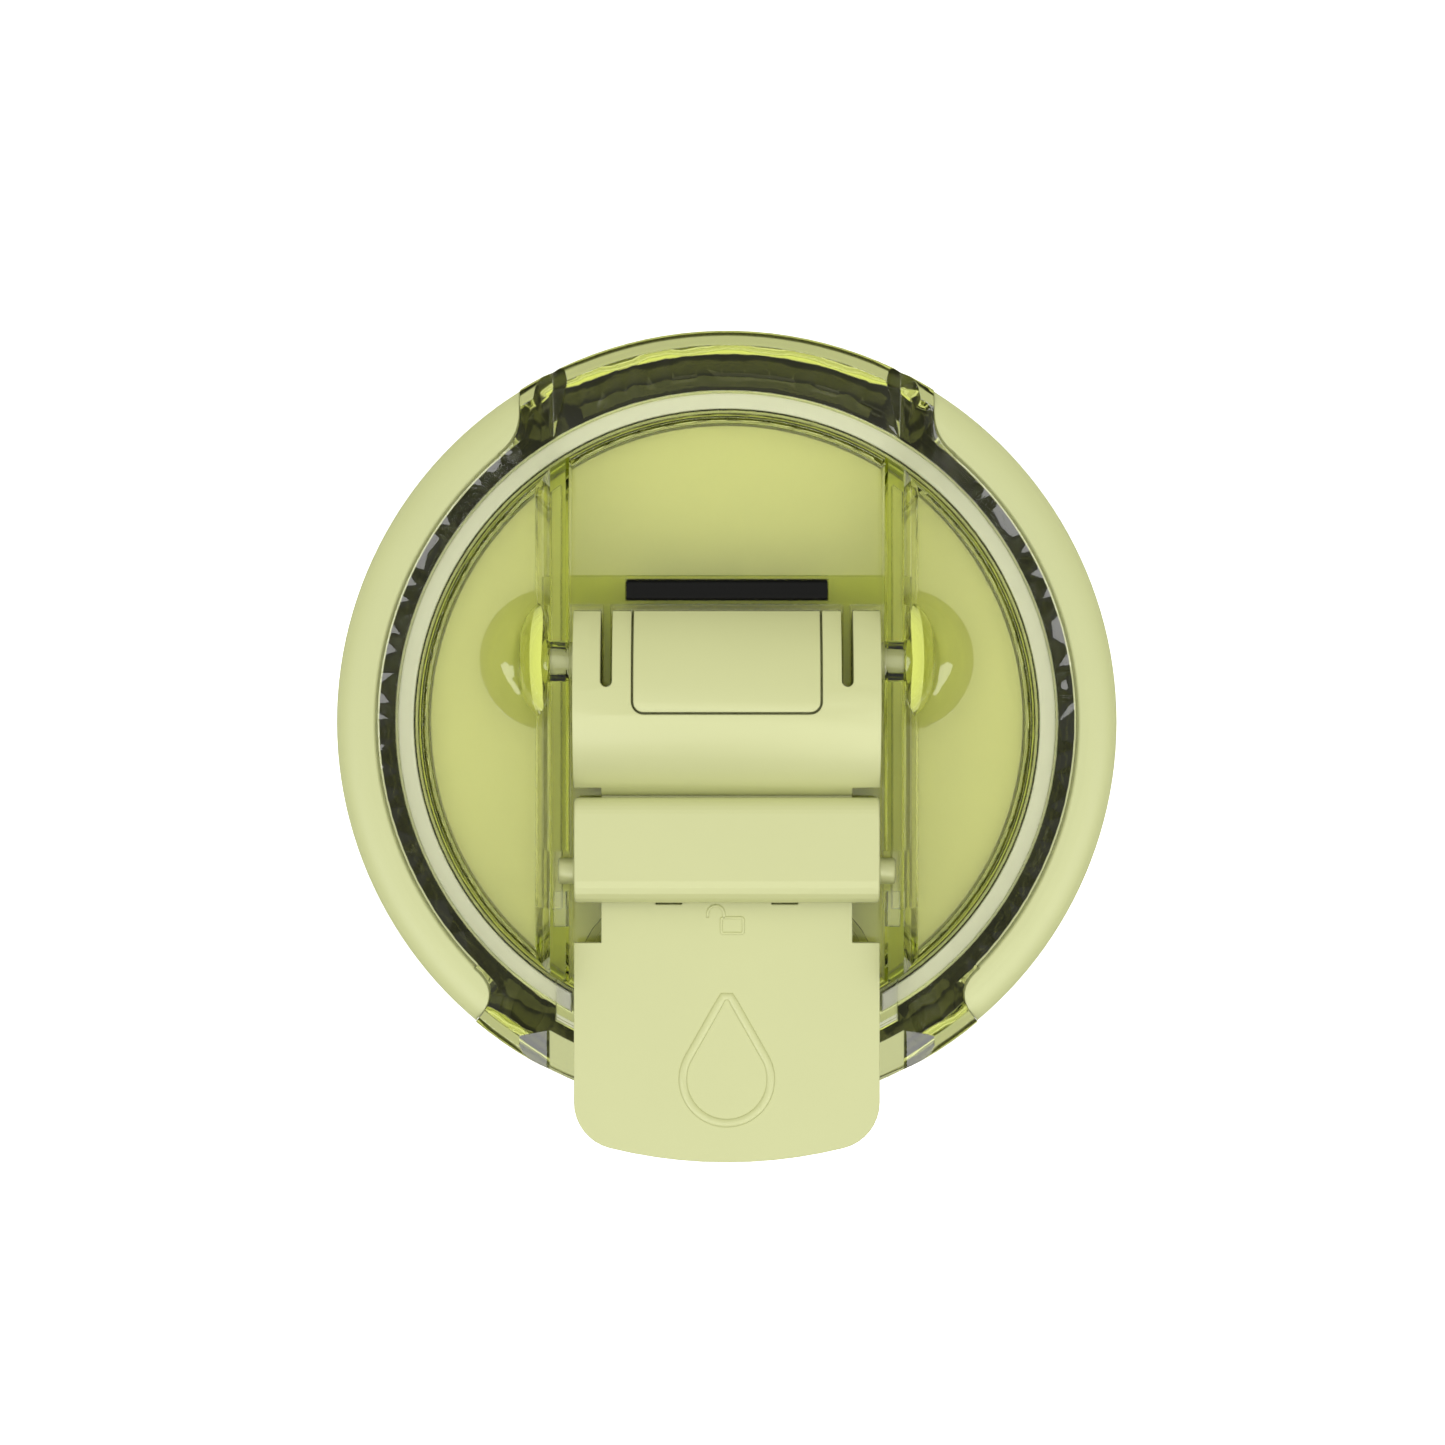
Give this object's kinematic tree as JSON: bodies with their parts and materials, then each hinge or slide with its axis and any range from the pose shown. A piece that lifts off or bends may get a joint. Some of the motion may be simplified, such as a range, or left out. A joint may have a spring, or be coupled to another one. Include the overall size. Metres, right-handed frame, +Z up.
{
  "type": "tumbler lid",
  "caption": "Round clear tumbler lid with an opaque flip lever hinged at the rear, a slide lock across the lever, side grips, a sip well and a plug with a mouth gasket",
  "frame": {"origin": "centre of the base cover's flat underside", "axes": "+Z up through the lid, -Y towards the drinking side and the lever's tip, X along the hinge"},
  "size_m": [0.1, 0.1062, 0.0315],
  "materials": {
    "clear_tint": "clear tinted, polished",
    "pale_body": "opaque pale green, fine satin",
    "grip": "opaque pale green, satin",
    "silicone": "pale silicone rubber",
    "dark_rubber": "black rubber"
  },
  "bodies": {
    "lid": {"upper_housing": "clear_tint", "inner_cup": "pale_body", "base_cover": "pale_body", "chamber_seal": "silicone", "spout_sleeve": "pale_body", "vent_sleeve": "pale_body", "mouth_gasket": "silicone", "grip_left": "grip", "grip_right": "grip", "stop_strip": "dark_rubber"},
    "lever": {"lever": "pale_body", "hinge_cover": "pale_body", "seal_carrier": "pale_body", "sip_seal": "silicone", "vent_seal": "silicone"},
    "lock_slider": {"lock_slider": "pale_body"}
  },
  "joints": [
    {"name": "lever_hinge", "type": "hinge", "parent": "lid", "child": "lever", "pos_m": [0, 0.00767, 0.0256], "axis": [-1, 0, 0], "range_deg": [0, 105]},
    {"name": "lock_slide", "type": "slide", "parent": "lever", "child": "lock_slider", "axis": [0, -1, 0], "range_m": [0, 0.0049]}
  ]
}
